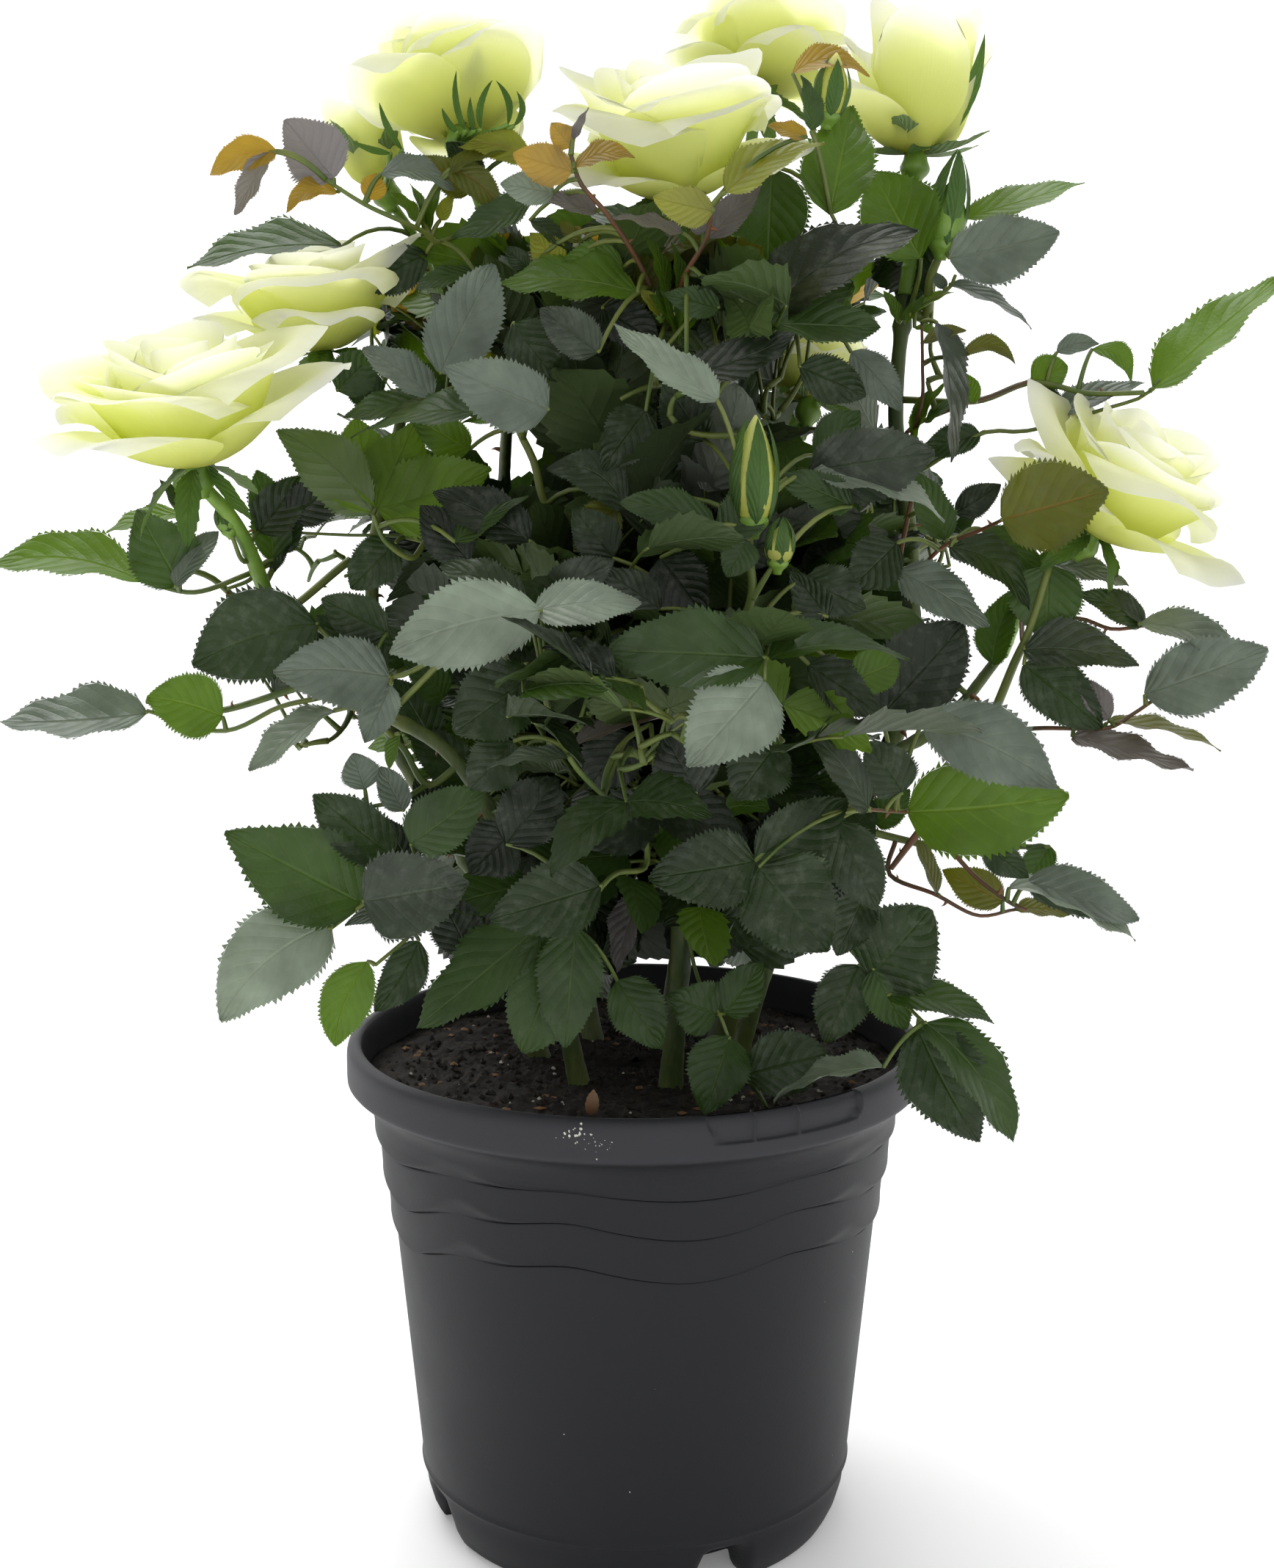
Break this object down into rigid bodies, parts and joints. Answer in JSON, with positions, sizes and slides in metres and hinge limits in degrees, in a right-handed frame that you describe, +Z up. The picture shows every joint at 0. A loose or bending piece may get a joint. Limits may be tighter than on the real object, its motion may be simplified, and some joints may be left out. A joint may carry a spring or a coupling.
{
  "type": "potted rose bush",
  "caption": "Bushy rose in a round nursery pot, with thorny canes, toothed leaves and pale lemon double blooms held round the top.",
  "frame": {"origin": "middle of the pot's flat underside, on the ground", "axes": "+Z up the plant, -Y towards the front of the plant, +X to the right as seen from the front"},
  "size_m": [0.4528, 0.3468, 0.5851],
  "materials": {
    "pot_plastic": "semi-matt moulded charcoal plastic with a dusty bloom",
    "compost": "damp crumbly peat compost with pale grit",
    "cane_bark": "smooth green to brown bark with thorns",
    "green_stem": "smooth waxy green flower stem",
    "leaves": "semi-gloss dark green toothed leaves",
    "young_leaves": "glossy bronze young leaves",
    "petals": "soft pale lemon petals"
  },
  "bodies": {
    "root": {"bloom_centre": "petals", "bloom_half_open_left": "petals", "bloom_inner_back": "petals", "bloom_left_large": "petals", "bloom_left_upper": "petals", "bloom_right": "petals", "bloom_top_back": "petals", "bloom_top_left": "petals", "bloom_top_right": "petals", "cane_back": "cane_bark", "cane_back_left": "cane_bark", "cane_front": "cane_bark", "cane_front_left": "cane_bark", "cane_front_right": "cane_bark", "cane_left": "cane_bark", "cane_right": "cane_bark", "compost": "compost", "leaves_core_high": "leaves", "leaves_core_low": "leaves", "leaves_core_middle": "leaves", "leaves_high_back": "leaves", "leaves_high_front": "leaves", "leaves_high_left": "leaves", "leaves_high_right": "leaves", "leaves_low_back": "leaves", "leaves_low_front": "leaves", "leaves_low_left": "leaves", "leaves_low_right": "leaves", "leaves_middle_back": "leaves", "leaves_middle_front": "leaves", "leaves_middle_left": "leaves", "leaves_middle_right": "leaves", "leaves_upper_right": "leaves", "leaves_young_front": "young_leaves", "leaves_young_left": "young_leaves", "pot": "pot_plastic", "spray_back_left": "leaves", "spray_back_right": "leaves", "spray_left_lower": "leaves", "spray_left_upper": "leaves", "spray_right_lower": "leaves", "spray_right_middle": "leaves", "spray_right_upper": "leaves", "spray_rim_right": "leaves", "stem_centre": "green_stem", "stem_half_open_left": "green_stem", "stem_inner_back": "green_stem", "stem_left_large": "green_stem", "stem_left_upper": "green_stem", "stem_right": "green_stem", "stem_top_back": "green_stem", "stem_top_left": "green_stem", "stem_top_right": "green_stem", "twig_left_lower": "green_stem", "twig_left_upper": "green_stem", "twig_right_lower": "green_stem", "twig_right_upper": "green_stem"}
  },
  "joints": []
}
